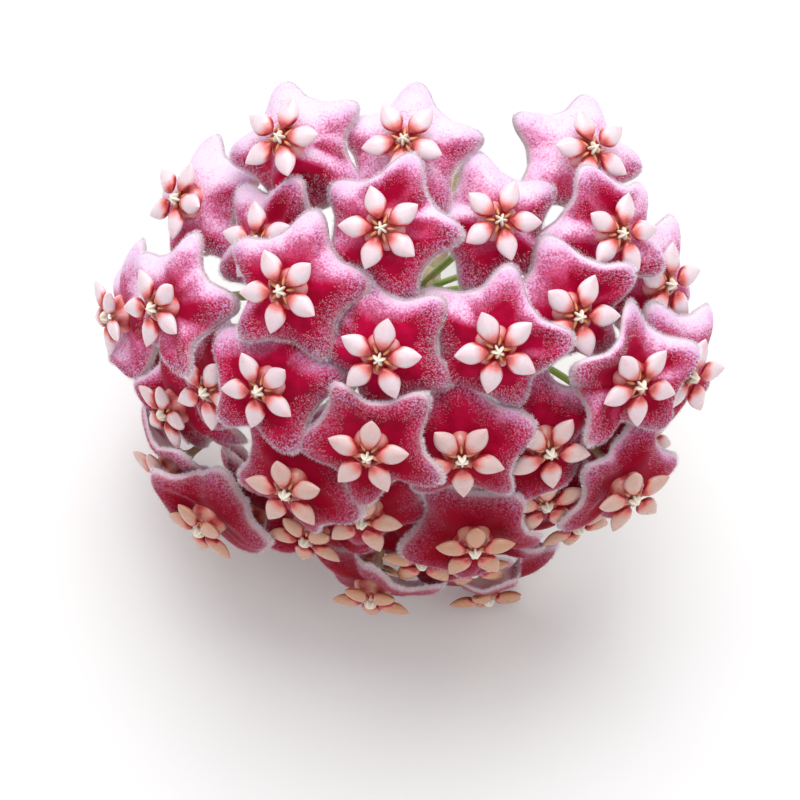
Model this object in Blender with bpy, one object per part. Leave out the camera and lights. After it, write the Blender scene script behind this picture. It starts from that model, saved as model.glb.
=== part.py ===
"""A hoya's flower umbel, as picked: about forty fleshy stars on one cut stalk, lying on its side.

Lengths are in metres, +Z is up, and the umbel rests on z = 0. Its parts are laid out in a frame
of their own, the empty "umbel": its origin is the knob that every flower grows from, +Z runs out
through the crown of the dome, and +Y is the side that lies uppermost.

Every flower is one grown piece: its own stalk, a five-lobed corolla, and on top of that the
raised corona, whose five rays point to the dips between the corolla's lobes.
"""

import math

import bmesh
import bpy
from mathutils import Matrix, Vector

MM = 0.001

# How the umbel lies: its axis rises this far from the table, so that two flowers of the lower rim
# and the stalk's cut end carry it.
AXIS_RISE = math.radians(40.3)

# The dome that the corollas' centres lie on: its radius across, its depth as a share of that,
# and how far each tier of flowers stands in front of the one below.
DOME_RADIUS = 36.6 * MM
DOME_DEPTH = 0.93
TIER = 1.25 * MM
# A flower looks outward by this share of its stalk's angle, so the dome is a flattened one.
FACING = 0.74

# The umbel's stalk: its length back from the knob's centre, its radius at the knob and how much
# thicker the cut end is, and how far it has bowed there, along +X (here leftwards) and along +Y.
STALK_LENGTH = 46.0 * MM
STALK_RADIUS = 1.5 * MM
STALK_THICKENING = 0.12
STALK_BOW = (-8.0 * MM, 2.5 * MM)
STALK_STEPS = 8
# The knob at its end, which runs from near its front pole to where the stalk starts. Each flower
# stands off its surface by a gap.
KNOB_RADIUS = 4.6 * MM
KNOB_FRONT = math.radians(11)
KNOB_BACK = math.radians(162)
KNOB_STEPS = 9
KNOB_TO_STALK = 5.75 * MM
KNOB_GAP = 0.35 * MM

# One flower in its own frame, where z = 0 is the corolla's surface at the centre, +Z is where
# the flower looks, and +Y is one of the corona's rays.
LOBES = 5
FLOWER_STALK_RADII = (0.42 * MM, 0.45 * MM, 0.55 * MM)
FLOWER_STALK_TOP = -3.4 * MM
FLOWER_STALK_LEAD = 0.35
# Each ring is a star: the radius and height of its points that lie under a corolla lobe, then
# the radius and height of its points that lie under a ray of the corona.
HEAD_RINGS = (
    (1.50 * MM, -1.5 * MM, 1.50 * MM, -1.5 * MM),  # calyx
    (8.00 * MM, -3.1 * MM, 4.70 * MM, -2.2 * MM),  # under the margin
    (8.40 * MM, -2.4 * MM, 5.05 * MM, -1.3 * MM),  # the margin, lobe tips and dips
    (3.40 * MM, 0.1 * MM, 3.10 * MM, 0.1 * MM),    # cushion round the corona
    (1.90 * MM, 0.8 * MM, 1.90 * MM, 0.8 * MM),    # foot of the corona
    (2.00 * MM, 1.7 * MM, 5.10 * MM, 1.9 * MM),    # under the rays
    (1.70 * MM, 2.7 * MM, 4.30 * MM, 3.0 * MM),    # over the rays
    (0.70 * MM, 3.2 * MM, 0.70 * MM, 3.2 * MM),    # column in the middle
)

# Edges that bend more than this are drawn sharp.
SHARP_EDGE = math.radians(50)
COROLLA_RED = (0.52, 0.02, 0.10, 1.0)
STALK_GREEN = (0.36, 0.40, 0.16, 1.0)

# One flower a row: its angle from the dome's axis, its turn round the axis from the uppermost
# side, the turn of one ray of its corona from that side, all in degrees, and its tier.
FLOWERS = (
    # the crown
    (19, -168, 54, 3), (28, -107, 12, 1), (13, -84, 33, 3), (25, -32, 29, 4),
    (17, 25, 70, 3), (27, 94, 21, 2), (10, 106, 67, 4), (27, 156, 0, 1),
    # the shoulder
    (43, -178, 39, 0), (52, -153, 48, 4), (51, -124, 3, 0), (39, -82, 27, 4),
    (37, -44, 42, 0), (53, -30, 60, 3), (38, 0, 39, 2), (52, 26, 12, 0),
    (35, 52, 39, 3), (52, 55, 15, 2), (45, 91, 18, 1), (53, 111, 57, 0),
    (44, 129, 59, 2), (49, 149, 57, 0),
    # the rim
    (62, -163, 1, 0), (79, -160, 24, 1), (61, -140, 0, 3), (81, -134, 51, 0),
    (71, -121, 48, 0), (70, -106, 21, 2), (58, -66, 0, 0), (56, -3, 21, 1),
    (77, 31, 57, 1), (68, 46, 12, 2), (80, 63, 6, 0), (59, 74, 32, 4),
    (73, 78, 12, 4), (75, 97, 30, 0), (65, 102, 50, 4), (78, 124, 21, 0),
    (65, 144, 41, 0), (80, 149, 27, 4), (59, 166, 28, 3), (75, 173, 10, 0),
)


def material(name, colour, roughness):
    """A Principled material of one colour."""
    made = bpy.data.materials.new(name)
    made.use_nodes = True
    shader = made.node_tree.nodes["Principled BSDF"]
    shader.inputs["Base Color"].default_value = colour
    shader.inputs["Roughness"].default_value = roughness
    shader.inputs["Metallic"].default_value = 0.0
    return made


def clear_scene():
    """Removes every object that the scene starts with."""
    for old in list(bpy.data.objects):
        bpy.data.objects.remove(old, do_unlink=True)


def direction(polar, turn):
    """The unit vector this far from the umbel's axis and this far round it, both in degrees."""
    polar, turn = math.radians(polar), math.radians(turn)
    outward = math.sin(polar)
    return Vector((outward * math.sin(turn), outward * math.cos(turn), math.cos(polar)))


def dome_reach(polar):
    """The distance from the knob to the dome, an ellipsoid, this many degrees from its axis."""
    across = math.sin(math.radians(polar)) / DOME_RADIUS
    deep = math.cos(math.radians(polar)) / (DOME_RADIUS * DOME_DEPTH)
    return 1 / math.hypot(across, deep)


def flower_frame(polar, turn, ray_turn, tier):
    """The flower's frame in the umbel's: at its corolla's centre, +Z where it looks, +Y a ray."""
    centre = direction(polar, turn) * (dome_reach(polar) + TIER * tier)
    facing = direction(polar * FACING, turn)
    up = Vector((0, 1, 0))
    up = (up - facing * up.dot(facing)).normalized()
    right = up.cross(facing)
    angle = math.radians(ray_turn)
    ray = right * math.sin(angle) + up * math.cos(angle)
    axes = Matrix((ray.cross(facing), ray, facing)).transposed()
    return Matrix.Translation(centre) @ axes.to_4x4()


def stalk_rings(root, radii):
    """Round rings along a flower's stalk, which leaves the knob at `root` and bends to meet the head."""
    top = Vector((0, 0, FLOWER_STALK_TOP))
    lead = top - Vector((0, 0, FLOWER_STALK_LEAD * (top - root).length))
    rings = []
    for step, radius in enumerate(radii):
        t = step / (len(radii) - 1)
        middle = root * (1 - t) ** 2 + lead * 2 * t * (1 - t) + top * t**2
        along = ((lead - root) * (1 - t) + (top - lead) * t).normalized()
        side = Vector((1, 0, 0))
        side = (side - along * side.dot(along)).normalized()
        ahead = along.cross(side)
        rings.append([middle + radius * (side * math.sin(a) + ahead * math.cos(a)) for a in ring_angles()])
    return rings


def ring_angles():
    """The angles of a ring's points from +Y: a lobe, a ray, a lobe, a ray, and so on round."""
    step = math.pi / LOBES
    return [step * (1 + point) for point in range(2 * LOBES)]


def star_ring(lobe_radius, lobe_height, ray_radius, ray_height):
    """One ring of the head, whose points alternate between the corolla's lobes and the rays."""
    ring = []
    for point, angle in enumerate(ring_angles()):
        on_lobe = point % 2 == 0
        radius = lobe_radius if on_lobe else ray_radius
        height = lobe_height if on_lobe else ray_height
        ring.append(Vector((radius * math.sin(angle), radius * math.cos(angle), height)))
    return ring


def lofted(name, rings):
    """A closed mesh through these rings, which all have the same number of points."""
    shape = bmesh.new()
    rows = [[shape.verts.new(point) for point in ring] for ring in rings]
    count = len(rows[0])
    for below, above in zip(rows, rows[1:]):
        for point in range(count):
            after = (point + 1) % count
            shape.faces.new((below[point], above[after], below[after]))
            shape.faces.new((below[point], above[point], above[after]))
    shape.faces.new(rows[0])
    shape.faces.new(reversed(rows[-1]))
    bmesh.ops.recalc_face_normals(shape, faces=shape.faces)
    mesh = bpy.data.meshes.new(name)
    shape.to_mesh(mesh)
    shape.free()
    mesh.shade_smooth()
    mesh.set_sharp_from_angle(angle=SHARP_EDGE)
    return mesh


def flower(name, row, surface):
    """One flower, placed in the umbel's frame, its stalk starting at the knob's surface."""
    polar, turn, _, _ = row
    frame = flower_frame(*row)
    root = frame.inverted() @ (direction(polar, turn) * (KNOB_RADIUS + KNOB_GAP))
    rings = stalk_rings(root, FLOWER_STALK_RADII)
    rings += [star_ring(*ring) for ring in HEAD_RINGS]
    made = bpy.data.objects.new(name, lofted(name, rings))
    made.data.materials.append(surface)
    made.matrix_local = frame
    return made


def stalk_line():
    """The stalk's middle line and radii: round the knob first, then back along a bowed stalk."""
    line = []
    for step in range(KNOB_STEPS):
        angle = KNOB_FRONT + (KNOB_BACK - KNOB_FRONT) * step / (KNOB_STEPS - 1)
        line.append((Vector((0, 0, KNOB_RADIUS * math.cos(angle))), KNOB_RADIUS * math.sin(angle)))
    for step in range(STALK_STEPS):
        t = step / (STALK_STEPS - 1)
        back = KNOB_TO_STALK + t * (STALK_LENGTH - KNOB_TO_STALK)
        across, upward = STALK_BOW[0] * t**2, STALK_BOW[1] * t**2
        line.append((Vector((across, upward, -back)), STALK_RADIUS * (1 + STALK_THICKENING * t)))
    return line


def stalk(name, surface):
    """The umbel's stalk with its knob, one grown piece: a tube whose radius follows the line."""
    curve = bpy.data.curves.new(name, "CURVE")
    curve.dimensions = "3D"
    curve.bevel_depth = MM
    curve.bevel_resolution = 4
    curve.use_fill_caps = True
    line = stalk_line()
    spline = curve.splines.new("POLY")
    spline.points.add(len(line) - 1)
    for point, (place, radius) in zip(spline.points, line):
        point.co = (*place, 1)
        point.radius = radius / MM
    made = bpy.data.objects.new(name, curve)
    made.data.materials.append(surface)
    return made


def stand_on_origin(umbel, parts):
    """Moves the umbel so that the bottom of its box is centred on the world's origin."""
    bpy.context.view_layer.update()
    graph = bpy.context.evaluated_depsgraph_get()
    corners = []
    for part in parts:
        evaluated = part.evaluated_get(graph)
        mesh = evaluated.to_mesh()
        corners += [evaluated.matrix_world @ vertex.co for vertex in mesh.vertices]
        evaluated.to_mesh_clear()
    low = Vector(min(corner[axis] for corner in corners) for axis in range(3))
    high = Vector(max(corner[axis] for corner in corners) for axis in range(3))
    middle = (low + high) / 2
    umbel.location -= Vector((middle.x, middle.y, low.z))
    bpy.context.view_layer.update()


def main():
    """Builds the umbel in a collection of its own and lays it down."""
    clear_scene()
    group = bpy.data.collections.new("hoya_flower_umbel")
    bpy.context.scene.collection.children.link(group)
    umbel = bpy.data.objects.new("umbel", None)
    umbel.rotation_euler.x = math.pi / 2 - AXIS_RISE
    group.objects.link(umbel)

    petals = material("flower", COROLLA_RED, 0.6)
    parts = [stalk("peduncle", material("peduncle", STALK_GREEN, 0.7))]
    parts += [flower(f"floret_{number:02d}", row, petals) for number, row in enumerate(FLOWERS, 1)]
    for part in parts:
        part.parent = umbel
        group.objects.link(part)
    stand_on_origin(umbel, parts)


main()
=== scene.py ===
# %% [markdown]
# # A hoya's flower umbel
# A hoya carries its flowers in umbels: some forty fleshy stars, each on a thin stalk of its own, and
# all the stalks leave one knob at the end of a leafless stem. This one has been picked and lies on
# its side on a pale table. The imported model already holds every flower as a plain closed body, in
# its right place. The lesson dresses those bodies: it reads where each flower sits and how it is
# turned, and grows a velvety corolla, a waxy corona, a stalk and short hairs there.
#
# Everything is in metres. Sizes are written in millimetres and multiplied by `MM`.

import bpy
import numpy as np
from mathutils import Matrix


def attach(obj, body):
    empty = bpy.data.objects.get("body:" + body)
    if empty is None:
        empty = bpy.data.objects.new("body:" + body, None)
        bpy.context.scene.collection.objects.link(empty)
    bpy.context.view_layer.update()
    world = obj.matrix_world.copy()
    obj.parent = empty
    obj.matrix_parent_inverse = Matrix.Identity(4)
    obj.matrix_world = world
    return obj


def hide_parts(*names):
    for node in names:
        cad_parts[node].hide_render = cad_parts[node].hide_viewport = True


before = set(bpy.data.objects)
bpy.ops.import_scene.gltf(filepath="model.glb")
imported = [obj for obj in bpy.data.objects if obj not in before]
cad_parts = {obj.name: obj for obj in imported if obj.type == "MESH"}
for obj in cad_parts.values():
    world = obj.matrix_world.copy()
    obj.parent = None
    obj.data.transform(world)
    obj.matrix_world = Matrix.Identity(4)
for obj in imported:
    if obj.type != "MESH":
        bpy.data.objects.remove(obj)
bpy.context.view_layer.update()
MM = 0.001
FLORETS = sorted(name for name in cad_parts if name.startswith("floret_"))
print("flowers in the model:", len(FLORETS))

# %% [markdown]
# ## Where each flower sits
# A flower's body in the model is a loft through rings of ten points: three round its stalk, then
# the head. The ring at the root is the one farthest from the head, and the ten points that stand
# farthest out are the tips of the five lobes, once on the margin and once just under it. The plane
# that fits those ten points best is square to the way the flower looks, and their turn round it
# tells where the lobes point. Typing forty-two frames in by hand would also work, but then a change
# to the model would leave the flowers behind.

# %% Read the flowers' frames from their bodies
RING_POINTS = 10
LOBES = 5
TIPS_BELOW_CENTRE = 2.75 * MM
# Points this far out of the way from the root to the farthest tip belong to the head.
HEAD_SHARE = 0.65
FACING_ROUNDS = 4


def node_points(name):
    """Every different point of a CAD node's mesh, one row each, in the model's frame."""
    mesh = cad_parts[name].data
    points = np.empty(len(mesh.vertices) * 3, np.float32)
    mesh.vertices.foreach_get("co", points)
    return np.unique(points.reshape(-1, 3).astype(float).round(6), axis=0)


def unit(vectors):
    """The same directions with length one."""
    return vectors / np.linalg.norm(vectors, axis=-1, keepdims=True)


def flower_frame(name):
    """(centre, axes, root): the columns of axes run along a lobe, square to it, and out of the face.

    The facing is the direction in which the ten tip points spread least, found again from the tips
    that it gives until it settles. The lobes' common turn is the mean of the tips' angles, each
    taken five times over so that all five lobes say the same."""
    points = node_points(name)
    far = np.argsort(-np.linalg.norm(points - points.mean(0), axis=1))[:RING_POINTS]
    root = points[far].mean(0)
    from_root = np.linalg.norm(points - root, axis=1)
    head = points[from_root > HEAD_SHARE * from_root.max()]
    hub = head.mean(0)
    facing = unit(hub - root)
    for _ in range(FACING_ROUNDS):
        offset = head - hub
        beside = offset - np.outer(offset @ facing, facing)
        tips = head[np.argsort(-np.linalg.norm(beside, axis=1))[:RING_POINTS]]
        hub = tips.mean(0)
        spread = np.linalg.svd(tips - hub)[2][2]
        facing = spread * np.sign(spread @ (hub - root))
    first = np.cross(facing, (0.0, 0.0, 1.0))
    first = unit(first if np.linalg.norm(first) > 0.1 else np.cross(facing, (1.0, 0.0, 0.0)))
    second = np.cross(facing, first)
    angles = np.arctan2((tips - hub) @ second, (tips - hub) @ first)
    turn = np.angle(np.exp(1j * LOBES * angles).mean()) / LOBES
    lobe = first * np.cos(turn) + second * np.sin(turn)
    return hub + facing * TIPS_BELOW_CENTRE, np.stack([lobe, np.cross(facing, lobe), facing], 1), root


flowers = {name: flower_frame(name) for name in FLORETS}
roots = np.array([root for _, _, root in flowers.values()])
# A sphere through the roots: 2 * root . centre + (radius^2 - centre^2) = root^2 is linear in the
# centre and in the term in brackets.
unknowns = np.column_stack([2 * roots, np.ones(len(roots))])
fit = np.linalg.lstsq(unknowns, (roots**2).sum(1), rcond=None)[0]
knob_centre = fit[:3]
knob_reach = float(np.sqrt(fit[3] + knob_centre @ knob_centre))
print("knob's centre in mm:", (knob_centre / MM).round(2), "with roots at", round(knob_reach / MM, 2))

# %% [markdown]
# ## Surfaces from grids
# Every piece below is a closed skin: a grid of points whose columns run round and whose rows run
# from one end to the other, with a point at each end to close it. The same few helpers turn a grid
# into triangles, make sure that they face outwards, join several skins into one mesh and hang
# values on its points for the materials to read.

# %% Helpers for skins


def skin_faces(rows, columns):
    """Two triangles for each cell of the grid, and a fan at each end round the two extra points."""
    row, column = np.meshgrid(np.arange(rows - 1), np.arange(columns), indexing="ij")
    after = (column + 1) % columns
    a, b = row * columns + column, row * columns + after
    c, d = a + columns, b + columns
    cells = np.concatenate([np.stack([a, b, d], -1), np.stack([a, d, c], -1)]).reshape(-1, 3)
    ring = np.arange(columns)
    turned = (ring + 1) % columns
    start = np.stack([np.full(columns, rows * columns), turned, ring], -1)
    last = (rows - 1) * columns
    end = np.stack([np.full(columns, rows * columns + 1), last + ring, last + turned], -1)
    return np.concatenate([cells, start, end])


def closed_skin(grid, **values):
    """A skin from a (rows, columns, 3) grid: points, triangles and one value of each kind a point.

    The points at the ends are the means of the end rows. The signed volume, a sixth of the sum of
    the corners' triple products, says whether the triangles face out, and they are turned if not."""
    rows, columns = grid.shape[:2]
    points = np.concatenate([grid.reshape(-1, 3), grid[0].mean(0)[None], grid[-1].mean(0)[None]])
    faces = skin_faces(rows, columns)
    a, b, c = (points[faces[:, corner]] for corner in range(3))
    if np.einsum("ij,ij->i", a - points[0], np.cross(b - points[0], c - points[0])).sum() < 0:
        faces = faces[:, ::-1]
    kinds = {}
    for kind, value in values.items():
        value = np.broadcast_to(value, (rows, columns)).astype(float)
        kinds[kind] = np.concatenate([value.ravel(), [value[0].mean(), value[-1].mean()]])
    return points, faces, kinds


def joined(skins):
    """Several skins as one: the triangles of each count on from the points before."""
    starts = np.cumsum([0] + [len(points) for points, _, _ in skins[:-1]])
    points = np.concatenate([skin[0] for skin in skins])
    faces = np.concatenate([skin[1] + start for skin, start in zip(skins, starts)])
    kinds = {kind: np.concatenate([skin[2][kind] for skin in skins]) for kind in skins[0][2]}
    return points, faces, kinds


def make_piece(name, skin, material, smooth=True):
    """A mesh object at the origin from a skin's points and triangles, riding on the one body."""
    points, faces, kinds = skin
    mesh = bpy.data.meshes.new(name)
    mesh.vertices.add(len(points))
    mesh.vertices.foreach_set("co", points.astype(np.float32).ravel())
    mesh.loops.add(faces.size)
    mesh.loops.foreach_set("vertex_index", faces.astype(np.int32).ravel())
    mesh.polygons.add(len(faces))
    mesh.polygons.foreach_set("loop_start", np.arange(0, faces.size, 3, dtype=np.int32))
    mesh.update(calc_edges=True)
    mesh.polygons.foreach_set("use_smooth", np.full(len(faces), smooth))
    for kind, value in kinds.items():
        attribute = mesh.attributes.new(kind, "FLOAT", "POINT")
        attribute.data.foreach_set("value", value.astype(np.float32))
    mesh.materials.append(material)
    piece = bpy.data.objects.new(name, mesh)
    bpy.context.scene.collection.objects.link(piece)
    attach(piece, "root")
    return piece


def placed(local, name):
    """Points given in a flower's own frame, moved to where that flower is."""
    centre, axes, _ = flowers[name]
    return centre + local @ axes.T


def smooth_step(value, low, high):
    """0 below low, 1 above high, and 3t^2 - 2t^3 of the share t of the way between."""
    share = np.clip((value - low) / (high - low), 0, 1)
    return share * share * (3 - 2 * share)


def full_turn(columns):
    """That many even steps of a full circle, as angles from 0."""
    return np.linspace(0, 2 * np.pi, columns, endpoint=False)


def swept(down, columns):
    """A skin's two grids: the given values from row to row, and a full turn from column to column."""
    return np.meshgrid(down, full_turn(columns), indexing="ij")


# %% [markdown]
# ## The corolla
# The corolla is one thick, velvety star. Its five lobes are blunt, its margin is rolled back, and
# it is about a millimetre thick. It could be drawn as a flat star and given a Solidify, but the
# margin would be an even step and the lobes flat. So it is one skin round a bent middle surface:
# a grid whose columns go round the star and whose rows go from the centre of the upper side, over
# the margin, to the centre of the underside. No two flowers of an umbel are the same, so each has
# its own slight waves, drawn from a seeded generator.

# %% The corolla's surface
LOBE_REACH = 9.8 * MM
DIP_REACH = 6.7 * MM
LOBE_POINT = 1.7
FLAT_SHARE = 0.34
LOBE_FALL = 2.3 * MM
DIP_FALL = 1.5 * MM
ROLL = 0.9 * MM
HALF_THICK_CENTRE = 0.75 * MM
HALF_THICK_MARGIN = 0.46 * MM
TOP_LEVEL = 0.1 * MM
PUCKER = 0.07 * MM
COROLLA_ROWS = 35
COROLLA_COLUMNS = 90
CLOSING_ANGLE = 0.03
WAVES = 3


def flower_character(number):
    """A flower's own size, fall, and the heights and turns of the waves in its outline and face."""
    random = np.random.default_rng(100 + number)
    return {
        "size": random.uniform(0.965, 1.03),
        "outline": random.normal(0, 0.014, WAVES),
        "outline_turn": random.uniform(0, 2 * np.pi, WAVES),
        "height": random.normal(0, 0.22, WAVES) * MM,
        "height_turn": random.uniform(0, 2 * np.pi, WAVES),
        "fall": random.uniform(0.8, 1.15),
        "pucker_turn": random.uniform(0, 2 * np.pi, 2),
    }


def lobe_share(turn):
    """1 on a lobe's middle line and 0 on the line of a dip: a raised cosine, to a power."""
    return ((1 + np.cos(LOBES * turn)) / 2) ** LOBE_POINT


def corolla_skin(turn, across, own, thick=1.0):
    """Points of the corolla's skin in the flower's frame.

    across is 0 at the middle of the upper side, 1 at the margin and 2 at the middle of the
    underside, and share is how far out that is. The middle surface lies flat as far as FLAT_SHARE
    and then falls with the square of the way, more in a lobe than in a dip, with a last roll by the
    sixth power, and two crossed waves pucker it near the margin. The skin stands off it by half the
    thickness, square to its slope, and the thickness closes at the margin as the root of
    1 - share^8, which rounds it. With thick = 0 the points are those of the middle surface."""
    share = 1 - np.abs(1 - across)
    side = np.sign(1 - across)
    waves = sum(
        own["outline"][k] * np.cos((k + 2) * turn + own["outline_turn"][k]) for k in range(WAVES)
    )
    reach = (DIP_REACH + (LOBE_REACH - DIP_REACH) * lobe_share(turn)) * (1 + waves) * own["size"]
    fall = (DIP_FALL + (LOBE_FALL - DIP_FALL) * lobe_share(turn)) * own["fall"]
    beyond = np.clip((share - FLAT_SHARE) / (1 - FLAT_SHARE), 0, None)
    bend = sum(
        own["height"][k] * np.cos((k + 1) * turn + own["height_turn"][k]) for k in range(WAVES)
    )
    fast, slow = own["pucker_turn"]
    pucker = PUCKER * np.cos(17 * turn + fast) * np.cos(9 * turn + slow)
    height = -fall * beyond**2 - ROLL * share**6 + bend * beyond**2 + pucker * share**4
    slope = (-2 * fall * beyond / (1 - FLAT_SHARE) - 6 * ROLL * share**5) / reach
    half = HALF_THICK_CENTRE + (HALF_THICK_MARGIN - HALF_THICK_CENTRE) * share
    half = half * np.sqrt(np.clip(1 - share**8, 0, None)) * side * thick
    steep = np.sqrt(1 + slope**2)
    radius = reach * share - half * slope / steep
    level = height - HALF_THICK_CENTRE + TOP_LEVEL + half / steep
    return np.stack([radius * np.cos(turn), radius * np.sin(turn), level], -1)


turn_grid, across_grid = np.meshgrid(
    full_turn(COROLLA_COLUMNS),
    1 - np.cos(np.linspace(CLOSING_ANGLE, np.pi - CLOSING_ANGLE, COROLLA_ROWS)),
)
print("corolla grid:", turn_grid.shape)

# %% [markdown]
# ## Making room
# Forty-two stars on a dome as small as this one overlap: the lobes of the lower flower of two slide
# under the upper one, and those of the upper one ride over the other's corona. Soft bodies would
# find their own way in a simulation, but a rule does it at once and the same way every time. First
# each point near a neighbour says how far it would have to move. Then a flower's margin bends as a
# whole: in every direction round the flower it takes the strongest of those wishes, faded over into
# the directions beside it, and the bend grows smoothly from the corona to the margin. So lobes curl
# but never crease. The lobes that reach the table are stopped by it.

# %% Lobes slide under lobes
NEIGHBOUR_REACH = 24 * MM
ROOM_UNDER = 1.45 * MM
CORONA_ROOM = 3.9 * MM
CORONA_REACH = 5.9 * MM
UNDER_FADE, CORONA_FADE = 1.3 * MM, 1.2 * MM
UNDER_DEPTH, CORONA_DEPTH = 9 * MM, 4 * MM
STEEPEST = 0.5
TABLE_GAP = 0.15 * MM
BEND_DIRECTIONS = np.arange(36) * 2 * np.pi / 36
BEND_SPREAD = np.radians(17)
BEND_EASE = 0.35 * MM
BEND_LIMIT = 5.5 * MM
# A flower that lies over a neighbour of a higher tier.
LIES_OVER = {("floret_13", "floret_14")}


def upper_of(first, second):
    """True where the first of two neighbours is the one in front, seen along both their facings."""
    if (first, second) in LIES_OVER or (second, first) in LIES_OVER:
        return (first, second) in LIES_OVER
    (here, axes, _), (there, other_axes, _) = flowers[first], flowers[second]
    return (here - there) @ (axes[:, 2] + other_axes[:, 2]) > 0


neighbours = {
    name: [
        other
        for other in FLORETS
        if other != name and np.linalg.norm(flowers[name][0] - flowers[other][0]) < NEIGHBOUR_REACH
    ]
    for name in FLORETS
}


def wished_moves(points, name):
    """How far points of a flower's middle surface would have to move along its facing.

    In a neighbour's frame a point has a radius, a turn and a level. A wish is the way to clear the
    neighbour's underside, taken as falling with the cube of the way out, or to clear its corona. It
    fades out over a little way past the outline, and points far below the neighbour wish nothing."""
    facing = flowers[name][1][:, 2]
    wish = np.zeros(points.shape[:-1])
    for other in neighbours[name]:
        centre, axes, _ = flowers[other]
        local = (points - centre) @ axes
        radius = np.hypot(local[..., 0], local[..., 1])
        turn = np.arctan2(local[..., 1], local[..., 0])
        level = local[..., 2]
        reach = DIP_REACH + (LOBE_REACH - DIP_REACH) * lobe_share(turn)
        out = np.clip(radius / reach, 0, 1)
        surface = -(DIP_FALL + ROLL) * out**3 - (LOBE_FALL - DIP_FALL) * lobe_share(turn) * out**3
        if upper_of(other, name):
            near = smooth_step(reach + UNDER_FADE - radius, 0, UNDER_FADE) * (level > -UNDER_DEPTH)
            push = np.clip(surface - ROOM_UNDER - level, None, 0) * near
        else:
            near = smooth_step(CORONA_REACH - radius, 0, CORONA_FADE) * (level > -CORONA_DEPTH)
            push = np.clip(CORONA_ROOM - level, 0, None) * near
        push = push / max(axes[:, 2] @ facing, STEEPEST)
        wish = np.where(np.abs(push) > np.abs(wish), push, wish)
    return wish


def give(share):
    """How much of its margin's bend a point takes: none at the corona, all of it at the margin."""
    return smooth_step(share, 0.3, 1.05)


def strongest_wishes(number, name):
    """The bend of the margin that each direction round the flower asks for."""
    turn, share = np.meshgrid(BEND_DIRECTIONS, np.linspace(0.6, 1.0, 7), indexing="ij")
    middle = placed(corolla_skin(turn, share, flower_character(number), thick=0.0), name)
    asked = wished_moves(middle, name) / give(share)
    chosen = np.abs(asked).argmax(1)
    return np.clip(asked[np.arange(len(asked)), chosen], -BEND_LIMIT, BEND_LIMIT)


wishes = {name: strongest_wishes(number, name) for number, name in enumerate(FLORETS, 1)}


def bend_at(turn, name):
    """The margin's bend at any turn: the wishes' mean, each weighed by its size and its nearness.

    Nearness is a bell curve of the angle between. A small constant weight of no bend at all lets
    the bend fade out where nothing is wished."""
    wish = wishes[name]
    gap = np.angle(np.exp(1j * (turn[..., None] - BEND_DIRECTIONS)))
    window = np.exp(-((gap / BEND_SPREAD) ** 2))
    return (window * wish * np.abs(wish)).sum(-1) / (window * (np.abs(wish) + BEND_EASE)).sum(-1)


def corolla_points(turn, across, number, name):
    """Points of a flower's corolla in the model's frame, bent to make room and stopped by the table."""
    own = flower_character(number)
    share = 1 - np.abs(1 - across)
    facing = flowers[name][1][:, 2]
    moves = (bend_at(turn, name) * give(share))[..., None] * facing
    middle = placed(corolla_skin(turn, across, own, thick=0.0), name) + moves
    lift = np.clip(TABLE_GAP + HALF_THICK_MARGIN - middle[..., 2], 0, None)
    upward = lift[..., None] * np.array((0.0, 0.0, 1.0))
    return placed(corolla_skin(turn, across, own), name) + moves + upward


counts = [len(found) for found in neighbours.values()]
print("neighbours of a flower:", np.mean(counts).round(1), "on average")

# %% [markdown]
# ## Painted light and shade on the umbel
# The key lamp stands on the side that the umbel grew towards. The flowers on that side are painted a
# pale lilac pink, a painted highlight where their hairs catch the lamp, and those turned away from
# it keep their crimson. A gradient along one direction would paint both faces of a petal alike. So
# a value hangs on every point of a corolla: it grows with how squarely the skin there faces the
# light and with how far to that side, or out to either flank, the flower sits. A second value, the
# painted shade, grows for the flowers that sit deep in the umbel.

# %% Painted light and shade
# The key lamp's direction: the corollas that face it get painted light.
LIGHT_SIDE = unit(np.array((-0.32, 0.86, 0.39)))
UMBEL_REACH = 36.6 * MM
LIGHTWARD_SHARE = 0.55
FLANK_SHARE = 0.4


def skin_normals(grid):
    """Outward normals of a skin's grid: the cross product of its slopes along rows and columns."""
    along_rows = np.gradient(grid, axis=0)
    along_columns = (np.roll(grid, -1, axis=1) - np.roll(grid, 1, axis=1)) / 2
    return unit(np.cross(along_rows, along_columns))


def toward_light(points):
    """How far towards the key lamp the points lie: about -1 and 1 at the umbel's two ends."""
    return (points - knob_centre) @ LIGHT_SIDE / UMBEL_REACH


def painted_shading(points):
    """Painted shade: 0 on the key lamp's side, up to 1 for the flowers deep in the umbel's own shade.
    """
    return 1 - smooth_step(toward_light(points), -1.0, -0.2)


def bleaching(points, normals):
    """0 where the corolla keeps its crimson, up to 1 where it faces the key lamp: painted light.

    It is a smooth step of the cosine between skin and light, plus shares of the way towards the
    light and of the square of the way out to a flank."""
    facing = normals @ LIGHT_SIDE
    flank = (points[..., 0] - knob_centre[0]) / UMBEL_REACH
    exposure = facing + LIGHTWARD_SHARE * toward_light(points) + FLANK_SHARE * flank**2
    return smooth_step(exposure, -0.2, 1.3)


# %% [markdown]
# ## Velvet
# The upper side of the corolla is covered in short hairs, so it looks like velvet: deep crimson
# where one looks straight down into it and a milky pink where it turns away. A Principled shader's
# sheen does just that. The colour under it goes from crimson to lilac by the painted light value,
# a painted highlight, and to a darker crimson by the painted shade value; then to a lilac haze
# where the hairs stand close, thinner in the painted shade, to a pale band along the margin, and
# to a dusty pink on the bald underside. Fine noise breaks all of this up, because real tissue is
# never even, and drives the bump.

# %% Node helpers


def new_material(name):
    """An empty node material: (material, its tree, its Principled shader)."""
    made = bpy.data.materials.new(name)
    made.use_nodes = True
    return made, made.node_tree, made.node_tree.nodes["Principled BSDF"]


def set_inputs(node, values):
    """Give a node's inputs these values, each under the input's name."""
    for name, value in values.items():
        node.inputs[name].default_value = value


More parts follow.
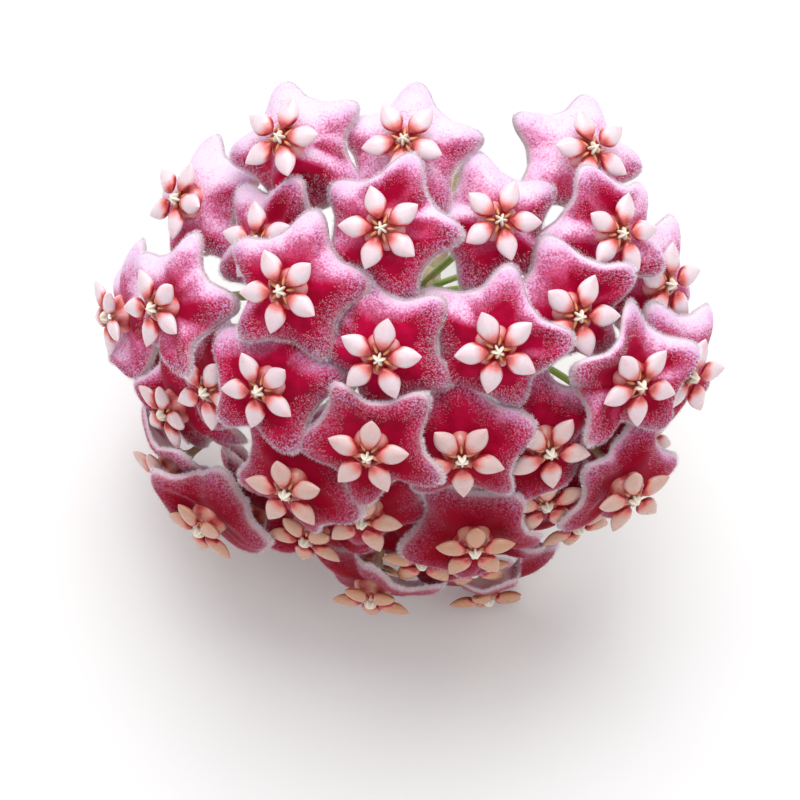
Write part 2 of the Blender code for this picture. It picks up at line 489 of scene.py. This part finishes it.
def noise(tree, scale, detail=3.0, roughness=0.55):
    """Noise over the piece's own coordinates, scale being its grains to the metre."""
    place = tree.nodes.new("ShaderNodeTexCoord")
    grain = tree.nodes.new("ShaderNodeTexNoise")
    set_inputs(grain, {"Scale": scale, "Detail": detail, "Roughness": roughness})
    tree.links.new(place.outputs["Object"], grain.inputs["Vector"])
    return grain.outputs["Fac"]


def read_value(tree, kind):
    """The value that hangs on the mesh's points under this name."""
    attribute = tree.nodes.new("ShaderNodeAttribute")
    attribute.attribute_name = kind
    return attribute.outputs["Fac"]


def remap(tree, value, low, high, to_low=0.0, to_high=1.0):
    """The value's range low..high, spread over to_low..to_high and held there."""
    made = tree.nodes.new("ShaderNodeMapRange")
    tree.links.new(value, made.inputs["Value"])
    set_inputs(made, {"From Min": low, "From Max": high, "To Min": to_low, "To Max": to_high})
    return made.outputs["Result"]


def combine(tree, operation, first, second):
    """A Math node on two values, with its result held between 0 and 1."""
    made = tree.nodes.new("ShaderNodeMath")
    made.operation = operation
    made.use_clamp = True
    tree.links.new(first, made.inputs[0])
    tree.links.new(second, made.inputs[1])
    return made.outputs["Value"]


def blend_colours(tree, share, first, second):
    """first where share is 0 and second where it is 1, each a socket or a colour."""
    made = tree.nodes.new("ShaderNodeMix")
    made.data_type = "RGBA"
    factor, a, b = made.inputs[0], made.inputs[6], made.inputs[7]
    tree.links.new(share, factor)
    for socket, value in ((a, first), (b, second)):
        if isinstance(value, tuple):
            socket.default_value = (*value, 1.0)
        else:
            tree.links.new(value, socket)
    return made.outputs[2]


def bump(tree, height, distance, strength):
    """The normal of a surface that this height moves by up to distance."""
    made = tree.nodes.new("ShaderNodeBump")
    set_inputs(made, {"Distance": distance, "Strength": strength})
    tree.links.new(height, made.inputs["Height"])
    return made.outputs["Normal"]


# %% The corolla's material
CRIMSON = (0.56, 0.002, 0.058)
DEEP_CRIMSON = (0.36, 0.001, 0.026)
PAINTED_SHADE_CRIMSON = (0.30, 0.001, 0.012)
PAINTED_LIGHT_ROSE = (0.80, 0.24, 0.50)
PAINTED_LIGHT_LILAC = (0.93, 0.73, 0.91)
HAZE = (0.70, 0.42, 0.80)
MARGIN_PINK = (0.98, 0.88, 0.92)
UNDERSIDE = (0.80, 0.59, 0.60)

velvet, tree, shader = new_material("corolla_velvet")
mottle = noise(tree, 420.0, 4.0)
pile = noise(tree, 3600.0, 2.0)
colour = blend_colours(tree, remap(tree, mottle, 0.38, 0.66), DEEP_CRIMSON, CRIMSON)
# Painted shade: the flowers deep in the umbel are painted a darker crimson.
colour = blend_colours(tree, read_value(tree, "shade"), colour, PAINTED_SHADE_CRIMSON)
# Both noises break up the painted light, the fine one most, and it passes through rose to lilac.
patchy = remap(tree, mottle, 0.3, 0.7, 0.7, 1.3)
grainy = remap(tree, pile, 0.35, 0.65, 0.66, 1.34)
bleached = combine(tree, "MULTIPLY", read_value(tree, "bleach"), patchy)
bleached = combine(tree, "MULTIPLY", bleached, grainy)
colour = blend_colours(tree, remap(tree, bleached, 0.05, 0.5), colour, PAINTED_LIGHT_ROSE)
colour = blend_colours(tree, remap(tree, bleached, 0.26, 0.78), colour, PAINTED_LIGHT_LILAC)
speckle = combine(tree, "MULTIPLY", remap(tree, pile, 0.46, 0.62), read_value(tree, "hairy"))
colour = blend_colours(tree, speckle, colour, HAZE)
colour = blend_colours(tree, read_value(tree, "margin"), colour, MARGIN_PINK)
colour = blend_colours(tree, read_value(tree, "under"), colour, UNDERSIDE)
tree.links.new(colour, shader.inputs["Base Color"])
tree.links.new(remap(tree, pile, 0.3, 0.7, 0.48, 0.72), shader.inputs["Roughness"])
tree.links.new(bump(tree, pile, 0.12 * MM, 0.5), shader.inputs["Normal"])
set_inputs(shader, {"Specular IOR Level": 0.06, "Sheen Weight": 0.27, "Sheen Roughness": 0.35})
set_inputs(shader, {"Sheen Tint": (0.92, 0.70, 1.0, 1.0)})

# %% Grow the corollas
share_grid = 1 - np.abs(1 - across_grid)
margin = 0.1 * smooth_step(share_grid, 0.8, 0.94) + 0.9 * smooth_step(share_grid, 0.94, 0.985)
hairy = smooth_step(share_grid, 0.58, 0.96) * (0.4 + 0.6 * lobe_share(turn_grid)) * (across_grid < 1)
under = smooth_step(across_grid, 1.1, 1.4)
for number, name in enumerate(FLORETS, 1):
    grid = corolla_points(turn_grid, across_grid, number, name)
    facing = flowers[name][1][:, 2]
    # The third row is still on the upper side, so its normals must look the way the flower does.
    normals = skin_normals(grid)
    normals *= np.sign(normals[2].mean(0) @ facing)
    # The painted shade darkens the flowers deep in the umbel and thins their lilac haze.
    shade = painted_shading(grid)
    skin = closed_skin(
        grid,
        bleach=bleaching(grid, normals),
        shade=shade,
        margin=margin,
        hairy=hairy * (1 - 0.6 * shade),
        under=under,
    )
    piece = make_piece(f"corolla_{number:02d}", skin, velvet)
    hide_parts(name)
print("corolla triangles:", len(skin[1]), "each")

# %% [markdown]
# ## The corona
# On the corolla stands the corona, which looks like wax: a low cushion, five fat pearly rays that
# end in a point, an orange ridge in each gap between two rays, and a small cream star in the
# middle. A ray could be a squashed sphere, but then both its ends would be alike. Its outline is
# a power of the way along it times a power of the way left, the curve known as a beta curve, which
# gives a teardrop whose two ends can be sharpened one by one. Each part is a closed skin of its
# own, and the flower's five of a kind are one skin turned five times.

# %% The corona's surfaces
# The rays point between the corolla's lobes, and the ridges along them.
RAY_TURN = np.pi / LOBES
RIDGE_TURN = 0.0
KEEL = 0.10
MOUND_REACH, MOUND_SWELL = 2.55 * MM, 0.15 * MM
MOUND_FOOT, MOUND_RISE = -0.1 * MM, 1.7 * MM
STAR_REACH, STAR_SWELL = 0.62 * MM, 0.30 * MM
STAR_FOOT, STAR_RISE = 2.35 * MM, 1.0 * MM


def beta_curve(share, start, end):
    """share^start * (1 - share)^end, scaled so that its highest value is 1."""
    top = start / (start + end)
    return share**start * (1 - share) ** end / (top**start * (1 - top) ** end)


def five_turned(grid, first_turn):
    """The same grid turned round +Z to first_turn and on by fifths of a circle, five grids."""
    turned = []
    for fifth in range(LOBES):
        angle = first_turn + fifth * 2 * np.pi / LOBES
        cos, sin = np.cos(angle), np.sin(angle)
        turned.append(grid @ np.array(((cos, sin, 0), (-sin, cos, 0), (0, 0, 1))))
    return turned


def bead(inner, outer, half_width, rise, depth, start, end, level, lift, rows=20, columns=16):
    """A teardrop lying along +X from inner to outer: (its grid, the way along, how near its keel).

    Across, it is an ellipse whose half width follows a beta curve of the powers start and end, and
    which is rise high above its middle line and depth deep below. The middle line lies at level and
    lifts at both ends with the square of the way from its middle. The top is drawn up a little to a
    keel by the sixth power of the sine round it."""
    along, around = swept((1 - np.cos(np.linspace(0.12, np.pi - 0.08, rows))) / 2, columns)
    fat = beta_curve(along, start, end)
    up = np.sin(around)
    tall = np.where(up > 0, rise * (1 + KEEL * up**6), depth)
    x = inner + (outer - inner) * along
    y = half_width * fat * np.cos(around)
    z = level + lift * (2 * along - 1) ** 2 + tall * up * fat**0.8
    return np.stack([x, y, z], -1), along, np.clip(up, 0, 1) ** 3


def cushion(rows=14, columns=60):
    """The corona's foot: a low mound that webs the rays together: (its grid, way down, turn round).

    Its radius is a cosine round the circle, and its height the root of 1 - down^4, so that it is
    nearly flat on top and steep at its rim."""
    down, turn = swept(np.sin(np.linspace(0.04, np.pi / 2, rows)), columns)
    radius = (MOUND_REACH + MOUND_SWELL * np.cos(LOBES * turn)) * down
    z = MOUND_RISE * np.sqrt(1 - down**4) + MOUND_FOOT
    return np.stack([radius * np.cos(turn), radius * np.sin(turn), z], -1), down, turn


def column_star(rows=10, columns=40):
    """The cream star in the middle: a quarter turn of an ellipse, swept round with five arms."""
    down, turn = swept(np.linspace(0.05, 1.0, rows), columns)
    radius = (STAR_REACH - STAR_SWELL * np.cos(LOBES * turn)) * np.sin(down * np.pi / 2)
    z = STAR_FOOT + STAR_RISE * np.cos(down * np.pi / 2)
    return np.stack([radius * np.cos(turn), radius * np.sin(turn), z], -1)


# %% [markdown]
# ## Wax
# The rays are pearl white with a rosy flush towards the middle and a dark red line low on their
# flanks, the cushion is blood red under them and salmon between, the ridges are orange and the
# middle is cream. Deep in the umbel the rays are painted peach, a painted shade. One value on the
# mesh says how pearly a point is and another how golden, and the material turns those into colours,
# which is simpler than five materials with hard borders. The gloss is a low roughness with a thin
# coat, and a little subsurface light makes it look like wax.

# %% The corona's material
PEARL = (0.88, 0.71, 0.77)
BLUSH = (0.88, 0.38, 0.40)
BLOOD = (0.36, 0.004, 0.010)
SALMON = (0.86, 0.19, 0.17)
GOLD = (1.0, 0.48, 0.20)
CREAM = (0.94, 0.88, 0.74)
PAINTED_SHADE_PEACH = (0.58, 0.26, 0.12)

wax, tree, shader = new_material("corona_wax")
veins = noise(tree, 900.0, 3.0)
pearl = combine(tree, "ADD", read_value(tree, "pearl"), remap(tree, veins, 0.3, 0.7, -0.07, 0.07))
colour = blend_colours(tree, remap(tree, pearl, 0.0, 0.3), BLOOD, SALMON)
colour = blend_colours(tree, remap(tree, pearl, 0.25, 0.55), colour, BLUSH)
colour = blend_colours(tree, remap(tree, pearl, 0.45, 0.9), colour, PEARL)
# Painted shade: the pearly parts of the rays deep in the umbel turn peach.
shaded = combine(tree, "MULTIPLY", read_value(tree, "shade"), remap(tree, pearl, 0.1, 0.6))
colour = blend_colours(tree, shaded, colour, PAINTED_SHADE_PEACH)
golden = read_value(tree, "gold")
colour = blend_colours(tree, remap(tree, golden, 0.0, 0.5), colour, GOLD)
colour = blend_colours(tree, remap(tree, golden, 0.5, 1.0), colour, CREAM)
tree.links.new(colour, shader.inputs["Base Color"])
tree.links.new(remap(tree, veins, 0.3, 0.7, 0.22, 0.36), shader.inputs["Roughness"])
tree.links.new(bump(tree, veins, 0.06 * MM, 0.4), shader.inputs["Normal"])
set_inputs(shader, {"Coat Weight": 0.3, "Coat Roughness": 0.15, "Subsurface Weight": 0.15})
set_inputs(shader, {"Subsurface Radius": (1.0, 0.5, 0.4), "Subsurface Scale": 0.6 * MM})

# %% The corona's parts and their values
ray, ray_along, ray_keel = bead(
    inner=1.15 * MM, outer=5.4 * MM, half_width=1.4 * MM, rise=0.85 * MM, depth=0.55 * MM,
    start=0.8, end=0.98, level=2.15 * MM, lift=0.35 * MM,
)
# Pearly from the middle of the ray outwards, a little rosier on the keel, and red on the flanks.
ray_pearl = 0.08 + 0.92 * smooth_step(ray_along, 0.06, 0.5)
ray_pearl -= 0.2 * ray_keel * smooth_step(ray_along, 0.3, 0.9)
flank = (1 - smooth_step(ray_keel, 0, 0.25)) * (1 - smooth_step(ray_along, 0.3, 0.6))
ray_pearl *= 1 - flank

ridge, ridge_along, _ = bead(
    inner=0.6 * MM, outer=2.0 * MM, half_width=0.22 * MM, rise=0.3 * MM, depth=0.4 * MM,
    start=0.7, end=1.0, level=1.85 * MM, lift=0.1 * MM, rows=10, columns=10,
)
ridge_gold = 0.62 * (1 - 0.8 * ridge_along)

mound, mound_down, mound_turn = cushion()
mound_pearl = smooth_step(mound_down, 0.3, 0.85) * (0.15 + 0.85 * lobe_share(mound_turn)) * 0.55
star = column_star()
print("grids of a ray, a ridge and the mound:", ray.shape, ridge.shape, mound.shape)

# %% Grow the coronas
for number, name in enumerate(FLORETS, 1):
    size = flower_character(number)["size"]
    # How much painted shade this flower's corona takes.
    shade = 0.95 * painted_shading(flowers[name][0])
    skins = [closed_skin(placed(mound * size, name), pearl=mound_pearl, gold=0, shade=shade)]
    for grid in five_turned(ray, RAY_TURN):
        skins.append(closed_skin(placed(grid * size, name), pearl=ray_pearl, gold=0, shade=shade))
    for grid in five_turned(ridge, RIDGE_TURN):
        skins.append(closed_skin(placed(grid * size, name), pearl=0.2, gold=ridge_gold, shade=shade))
    skins.append(closed_skin(placed(star * size, name), pearl=1, gold=1, shade=0))
    make_piece(f"corona_{number:02d}", joined(skins), wax)
print("corona triangles:", sum(len(skin[1]) for skin in skins), "each")

# %% [markdown]
# ## The flower stalks
# A flower's own stalk is a thin, slightly curved rod that leaves the knob and bends to meet the
# head squarely, where it widens under five small pointed sepals. A curve object with a bevel could
# draw the rod, but not its flare. So it is a profile carried along a path: the path is a curve of
# the second degree through a leading point behind the head, as in the model, and the profile is a
# circle whose radius changes on the way. The sepals are the corona's teardrop shape again.

# %% Stalks and sepals
STALK_TOP = -3.4 * MM
STALK_LEAD = 0.35
STALK_THIN, STALK_THICK = 0.42 * MM, 0.55 * MM
STALK_STEPS = 18
ROOT_DEPTH = 0.85
FLARE_LEVELS = np.array((-3.0, -2.6, -2.2, -1.85, -1.5)) * MM
FLARE_RADII = np.array((0.62, 0.85, 1.15, 1.3, 1.1)) * MM
SEPAL_CURL = 0.55 * MM


def tube(path, radii, columns=12):
    """A round skin along the path: at each of its points a circle square to the way it runs."""
    along = unit(np.gradient(path, axis=0))
    side = unit(np.cross(along, unit(np.array((0.37, 0.61, 0.70)))))
    other = np.cross(along, side)
    turn = full_turn(columns)[None, :, None]
    ring = side[:, None] * np.cos(turn) + other[:, None] * np.sin(turn)
    return path[:, None] + ring * radii[:, None, None]


def flower_stalk(name):
    """The stalk from inside the knob to the head: (its grid, the way along).

    The path is start (1-t)^2 + lead 2t(1-t) + top t^2, and then the flare, straight up to the head."""
    centre, axes, root = flowers[name]
    facing = axes[:, 2]
    top = centre + facing * STALK_TOP
    lead = top - facing * STALK_LEAD * np.linalg.norm(top - root)
    t = np.linspace(0, 1, STALK_STEPS)[:, None]
    start = knob_centre + (root - knob_centre) * ROOT_DEPTH
    rod = start * (1 - t) ** 2 + lead * 2 * t * (1 - t) + top * t**2
    flare = centre + FLARE_LEVELS[:, None] * facing
    path = np.concatenate([rod, flare])
    radii = STALK_THIN + (STALK_THICK - STALK_THIN) * t[:, 0]
    radii = np.concatenate([radii, FLARE_RADII])
    return tube(path, radii), np.concatenate([t[:, 0], np.ones(len(FLARE_LEVELS))])


sepal, sepal_along, _ = bead(
    inner=0.5 * MM, outer=2.5 * MM, half_width=0.55 * MM, rise=0.16 * MM, depth=0.14 * MM,
    start=0.5, end=0.9, level=-2.35 * MM, lift=0.0, rows=10, columns=8,
)
sepal[..., 2] += SEPAL_CURL * sepal_along**1.5

# %% [markdown]
# ## Stalk skin
# The flower stalks are a pale green with buff patches, they turn to a dull pink towards the head,
# and they have a fine down. One flat colour would make them look like wire. So a coarse noise mixes
# green and buff, the way along brings in the pink, and a fine noise gives the down.

# %% The stalks' material
BUFF = (0.60, 0.43, 0.27)
PALE_GREEN = (0.30, 0.50, 0.09)
DULL_PINK = (0.52, 0.20, 0.20)
DOWN = (0.78, 0.72, 0.58)

stalk_skin, tree, shader = new_material("flower_stalk_skin")
patches = noise(tree, 160.0, 3.0)
fine = noise(tree, 3000.0, 2.0)
colour = blend_colours(tree, remap(tree, patches, 0.45, 0.75), PALE_GREEN, BUFF)
colour = blend_colours(tree, remap(tree, read_value(tree, "along"), 0.55, 1.15), colour, DULL_PINK)
colour = blend_colours(tree, remap(tree, fine, 0.5, 0.8, 0.0, 0.5), colour, DOWN)
tree.links.new(colour, shader.inputs["Base Color"])
tree.links.new(remap(tree, fine, 0.3, 0.7, 0.45, 0.65), shader.inputs["Roughness"])
tree.links.new(bump(tree, fine, 0.08 * MM, 0.4), shader.inputs["Normal"])
set_inputs(shader, {"Sheen Weight": 0.2, "Sheen Roughness": 0.4})

# %% Grow the stalks
for number, name in enumerate(FLORETS, 1):
    rod, along = flower_stalk(name)
    skins = [closed_skin(rod, along=np.broadcast_to(along[:, None], rod.shape[:2]))]
    for grid in five_turned(sepal, 0.0):
        skins.append(closed_skin(placed(grid, name), along=0.8))
    make_piece(f"pedicel_{number:02d}", joined(skins), stalk_skin)
print("stalk triangles:", sum(len(skin[1]) for skin in skins), "each")

# %% [markdown]
# ## The stem and its knob
# The stem that carries the umbel is leafless, a little bowed and thicker towards the plant. At its
# end sits the knob, which is rough with the scars of older flowers, as a hoya blooms again and
# again from the same one. Sculpting could give that roughness, but a sum does it evenly: the knob
# is a sphere whose radius is raised by small round swellings, one at each stalk's root. The stem
# is a profile carried along a path again, and its far end is the cut.

# %% The umbel's own directions
AXIS_RISE = np.radians(40.3)
AXIS = np.array((0.0, -np.cos(AXIS_RISE), np.sin(AXIS_RISE)))
UPPERMOST = np.array((0.0, np.sin(AXIS_RISE), np.cos(AXIS_RISE)))
SIDEWAYS = np.array((1.0, 0.0, 0.0))
mean_direction = unit(np.mean([centre - knob_centre for centre, _, _ in flowers.values()], axis=0))
print("the crown looks along", AXIS.round(2), "and the flowers lie towards", mean_direction.round(2))

# %% The knob's surface
KNOB_RADIUS = 4.6 * MM
KNOB_CORE = 0.93
SCAR_HEIGHT = 0.55 * MM
SCAR_WIDTH = 0.17


def knob_grid(rows=70, columns=96):
    """A sphere with a swelling round every stalk's root, whose height is a bell curve of the distance.

    A product of cosines of the two angles roughens it between the swellings."""
    polar, turn = swept(np.linspace(0.03, np.pi - 0.03, rows), columns)
    side = np.cross(UPPERMOST, AXIS)
    outward = (
        np.cos(polar)[..., None] * AXIS
        + (np.sin(polar) * np.cos(turn))[..., None] * UPPERMOST
        + (np.sin(polar) * np.sin(turn))[..., None] * side
    )
    nearness = outward @ unit(roots - knob_centre).T
    distance = np.sqrt(np.clip(2 - 2 * nearness, 0, None))
    swell = np.exp(-((distance / SCAR_WIDTH) ** 2)).sum(-1) * 0.6
    rough = 0.10 * np.cos(9 * turn + 3 * np.sin(5 * polar)) * np.sin(polar)
    reach = KNOB_RADIUS * KNOB_CORE + SCAR_HEIGHT * np.clip(swell + rough, 0, 1.2)
    return knob_centre + outward * reach[..., None]


print("the knob is", round(2 * KNOB_RADIUS / MM, 1), "mm thick and carries", len(roots), "roots")

# %% The stem's surface
STEM_RADIUS = 1.5 * MM
STEM_LENGTH = 46.0 * MM
STEM_START = 1.25 * KNOB_RADIUS
STEM_BOW = -8.0 * MM * SIDEWAYS + 2.5 * MM * UPPERMOST
STEM_THICKENING = 0.12
COLLAR_RISE, COLLAR_PLACE, COLLAR_WIDTH = 0.9 * MM, -0.02, 0.07
NODE_RISE, NODE_PLACE, NODE_WIDTH = 0.12 * MM, 0.62, 0.03
RIPPLE = 0.05 * MM
RIDGE_SHARE = 0.025
STEM_COLUMNS = 28
# The rings of the cut face: how far out each is, and how far it is dished in.
CUT_SHARES = np.array((0.86, 0.6, 0.3, 0.08))
CUT_DISH = np.array((0.0, 0.0, 0.12, 0.2)) * MM


def bell(value, place, width):
    """1 at place, falling off on both sides as exp(-(distance / width)^2)."""
    return np.exp(-(((value - place) / width) ** 2))


def stem_grid():
    """The bowed stem, from inside the knob to its dished cut: (its grid, how far each row is cut).

    The bow grows with the square of the way, and so the stem leaves the knob straight. The radius
    grows evenly, with a collar at the knob, a faint node and ripples, and five low ridges run along."""
    t = np.linspace(-0.1, 1, 44)
    back = -STEM_START - t * (STEM_LENGTH - STEM_START)
    path = knob_centre + AXIS * back[:, None] + (t * np.abs(t))[:, None] * STEM_BOW
    radii = STEM_RADIUS * (1 + STEM_THICKENING * t) + COLLAR_RISE * bell(t, COLLAR_PLACE, COLLAR_WIDTH)
    radii += RIPPLE * np.cos(23 * t) + NODE_RISE * bell(t, NODE_PLACE, NODE_WIDTH)
    end = path[-1:] - AXIS * 0.05 * MM
    grid = tube(np.concatenate([path, end]), np.append(radii, radii[-1] * 0.95), STEM_COLUMNS)
    dished = path[-1] + AXIS * CUT_DISH[:, None]
    rings = dished[:, None] + (grid[-2] - path[-1]) * CUT_SHARES[:, None, None]
    ridges = 1 + RIDGE_SHARE * np.cos(5 * full_turn(STEM_COLUMNS))
    middle = path[:, None]
    grid[: len(path)] = middle + (grid[: len(path)] - middle) * ridges[None, :, None]
    cut = np.concatenate([np.zeros(len(path)), [0.3], np.ones(len(rings))])
    return np.concatenate([grid, rings]), cut


stem_points = node_points("peduncle")
stem_reach = np.linalg.norm(stem_points - knob_centre, axis=1).max()
print("the model's stem reaches", round(float(stem_reach) / MM, 1), "mm from the knob's centre")

# %% [markdown]
# ## Bark
# The stem's skin is older than the stalks': green and brown, with small corky spots, corkier on the
# knob, and pale wet tissue where it was cut. The noise that mixes green and brown is coarse, and a
# fine one with a hard threshold makes the spots. An image of bark would need a seam.

# %% The stem's material
BARK_GREEN = (0.22, 0.24, 0.09)
BARK_BROWN = (0.30, 0.18, 0.09)
CORK = (0.50, 0.40, 0.27)
WET_TISSUE = (0.66, 0.72, 0.40)

stem_skin, tree, shader = new_material("peduncle_skin")
patches = noise(tree, 140.0, 4.0)
fine = noise(tree, 2200.0, 3.0)
colour = blend_colours(tree, remap(tree, patches, 0.38, 0.62), BARK_GREEN, BARK_BROWN)
colour = blend_colours(tree, remap(tree, fine, 0.6, 0.68), colour, CORK)
colour = blend_colours(tree, remap(tree, read_value(tree, "knob"), 0.0, 1.0, 0.0, 0.6), colour, CORK)
colour = blend_colours(tree, read_value(tree, "cut"), colour, WET_TISSUE)
tree.links.new(colour, shader.inputs["Base Color"])
tree.links.new(remap(tree, fine, 0.3, 0.7, 0.5, 0.75), shader.inputs["Roughness"])
tree.links.new(bump(tree, fine, 0.15 * MM, 0.6), shader.inputs["Normal"])

# %% Grow the stem
stem, stem_cut = stem_grid()
skins = [
    closed_skin(knob_grid(), knob=1, cut=0),
    closed_skin(stem, knob=0, cut=np.broadcast_to(stem_cut[:, None], stem.shape[:2])),
]
piece = make_piece("peduncle_bark", joined(skins), stem_skin)
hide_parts("peduncle")
print("stem triangles:", sum(len(skin[1]) for skin in skins))

# %% [markdown]
# ## The hairs
# Velvet alone gives the flowers their bloom, but along the margin the hairs stand out against the
# light as a pale fringe, and on the lobes they catch it one by one. A particle system could grow
# them, but its hairs aren't a mesh. So each hair is a spike with three sides, and the hairs of a
# flower are one mesh. They stand denser towards the margin and on the lobes, because the share of
# the way out and the way aside from a lobe's middle line are both drawn as powers of an even draw.
# Deep in the umbel they are painted a dull red, a painted shade, all but the fringe.

# %% Places and shapes of the hairs
HAIRS_ON_TOP = 3600
HAIRS_ON_RIM = 2200
HAIR_WIDTH = 0.034 * MM
HAIR_ROOT = 0.02 * MM
HAIR_LENGTH, FRINGE_LENGTH = 0.24 * MM, 0.22 * MM
HAIRY_SHARE = 0.44


def spikes(bases, ways, lengths, width, **values):
    """A closed spike of four triangles on each base: (points, triangles, the values on the points).

    Its foot is an even triangle square to its way, and its tip lies a length along the way."""
    side = unit(np.cross(ways, unit(np.array((0.31, 0.52, 0.80)))))
    other = np.cross(ways, side)
    corners = [
        bases + width * (side * np.cos(angle) + other * np.sin(angle))
        for angle in np.arange(3) * 2 * np.pi / 3
    ]
    points = np.stack([*corners, bases + ways * lengths[:, None]], 1).reshape(-1, 3)
    faces = np.array(((0, 2, 1), (0, 1, 3), (1, 2, 3), (2, 0, 3)))
    faces = (faces[None] + 4 * np.arange(len(bases))[:, None, None]).reshape(-1, 3)
    return points, faces, {kind: np.repeat(value, 4) for kind, value in values.items()}


def hair_bases(number, name, random):
    """Places on the settled corolla: (points, directions out of the skin and outward, across)."""
    fifth = random.integers(0, LOBES, HAIRS_ON_TOP + HAIRS_ON_RIM)
    aside = random.uniform(-1, 1, HAIRS_ON_TOP + HAIRS_ON_RIM)
    on_top = np.arange(len(aside)) < HAIRS_ON_TOP
    aside = np.where(on_top, aside * np.abs(aside) ** 0.4, aside)
    turn = (2 * fifth + aside) * np.pi / LOBES
    top = 1 - HAIRY_SHARE * random.uniform(0, 1, HAIRS_ON_TOP) ** 1.9
    rim = random.uniform(0.97, 1.12, HAIRS_ON_RIM)
    across = np.concatenate([top, rim])

    def at(turn_step, across_step):
        return corolla_points(turn + turn_step, across + across_step, number, name)

    step = 0.01
    outward = at(0, step) - at(0, -step)
    around = at(step, 0) - at(-step, 0)
    return at(0, 0), unit(np.cross(outward, around)), unit(outward), across


# %% The hairs' material
PALE_HAIR = (0.97, 0.92, 1.0)
PAINTED_SHADE_HAIR = (0.62, 0.16, 0.26)

hair, tree, shader = new_material("velvet_hair")
# Painted shade: the hairs deep in the umbel are painted a dull red.
colour = blend_colours(tree, read_value(tree, "shade"), PALE_HAIR, PAINTED_SHADE_HAIR)
tree.links.new(colour, shader.inputs["Base Color"])
set_inputs(shader, {"Roughness": 0.5, "Sheen Weight": 0.3})

# %% Grow the hairs
for number, name in enumerate(FLORETS, 1):
    random = np.random.default_rng(500 + number)
    base, normal, outward, across = hair_bases(number, name, random)
    scatter = random.normal(0, 0.35, base.shape)
    way = unit(normal + 0.45 * outward + scatter)
    longer = np.clip(across, 0, 1) ** 4 * random.uniform(0.5, 1.2, len(base))
    length = HAIR_LENGTH + FRINGE_LENGTH * longer
    # The fringe keeps its pale colour in the painted shade.
    shade = painted_shading(base) * (1 - smooth_step(across, 0.86, 0.98))
    skin = spikes(base - normal * HAIR_ROOT, way, length, HAIR_WIDTH / 2, shade=shade)
    make_piece(f"hairs_{number:02d}", skin, hair, smooth=False)
print("hairs:", len(FLORETS) * len(base), "of four triangles")

# %% [markdown]
# ## Table, light and camera
# The table is a wide pale sheet without a seam in sight. The light is a studio's: one large soft
# lamp high behind the umbel, on the side that it grew towards, a weaker one near the camera, and a
# pale surrounding that fills the shadows. A single sun would be simpler, but its hard shadows would
# cut the flowers up. The camera looks steeply down on the umbel from the side of its crown, from
# about as far as one would hold it, and its shift leaves more room below than above.

# %% Table
TABLE_HALF = 9.0
floor_mesh = bpy.data.meshes.new("table")
corners = [(x * TABLE_HALF, y * TABLE_HALF, 0) for x, y in ((-1, -1), (1, -1), (1, 1), (-1, 1))]
floor_mesh.from_pydata(corners, [], [(0, 1, 2, 3)])
floor = bpy.data.objects.new("table", floor_mesh)
bpy.context.scene.collection.objects.link(floor)
pale, tree, shader = new_material("pale_table")
set_inputs(shader, {"Base Color": (0.93, 0.93, 0.93, 1.0), "Roughness": 0.9})
set_inputs(shader, {"Specular IOR Level": 0.1})
floor_mesh.materials.append(pale)

# %% The viewer's directions
VIEW_AZIMUTH, VIEW_ELEVATION, VIEW_ROLL = np.radians((-66.57, 66.995, -3.013))
level_right = np.array((-np.sin(VIEW_AZIMUTH), np.cos(VIEW_AZIMUTH), 0.0))
view_back = np.array((
    np.cos(VIEW_ELEVATION) * np.cos(VIEW_AZIMUTH),
    np.cos(VIEW_ELEVATION) * np.sin(VIEW_AZIMUTH),
    np.sin(VIEW_ELEVATION),
))
level_up = np.cross(view_back, level_right)
view_right = np.cos(VIEW_ROLL) * level_right + np.sin(VIEW_ROLL) * level_up
view_up = np.cross(view_back, view_right)
print("the viewer's directions:", view_right.round(3), view_up.round(3), view_back.round(3))

# %% Light


def look(right, up, back, place):
    """A matrix that puts an object at a place, with these three directions as its axes."""
    made = Matrix.Identity(4)
    for row in range(3):
        made[row][:] = (right[row], up[row], back[row], place[row])
    return made


def soft_lamp(name, toward, distance, size, power):
    """A square area lamp that far from the knob in a direction, facing it."""
    lamp = bpy.data.lights.new(name, "AREA")
    lamp.energy = power
    lamp.size = size
    made = bpy.data.objects.new(name, lamp)
    back = unit(np.asarray(toward, float))
    right = unit(np.cross((0.0, 1.0, 0.01), back))
    made.matrix_world = look(right, np.cross(back, right), back, knob_centre + back * distance)
    bpy.context.scene.collection.objects.link(made)
    return made


high_behind = 0.95 * view_up + 0.75 * view_back
near_camera = view_back + 0.1 * view_right
soft_lamp("key_lamp", high_behind, distance=0.9, size=0.8, power=7.2)
soft_lamp("front_lamp", near_camera, distance=1.1, size=0.9, power=2.2)
world = bpy.data.worlds.new("surroundings")
world.use_nodes = True
background = world.node_tree.nodes["Background"]
set_inputs(background, {"Color": (1.0, 1.0, 1.0, 1.0), "Strength": 0.52})
bpy.context.scene.world = world
# Crimson stays crimson with this view transform, where the default one greys it.
bpy.context.scene.view_settings.view_transform = "Standard"

# %% Camera
DISTANCE = 458 * MM
# What the frame's width spans at the knob.
FRAME_WIDTH = 107.6 * MM
SENSOR_WIDTH = 36.0
camera = bpy.data.objects.new("camera", bpy.data.cameras.new("camera"))
camera.data.sensor_width = SENSOR_WIDTH
camera.data.lens = SENSOR_WIDTH * DISTANCE / FRAME_WIDTH
camera.data.shift_x = -0.015
camera.data.shift_y = -0.135
camera.matrix_world = look(view_right, view_up, view_back, knob_centre + view_back * DISTANCE)
camera.data.clip_start = 0.01
bpy.context.scene.collection.objects.link(camera)
bpy.context.scene.camera = camera
print("lens:", round(camera.data.lens, 1), "mm")
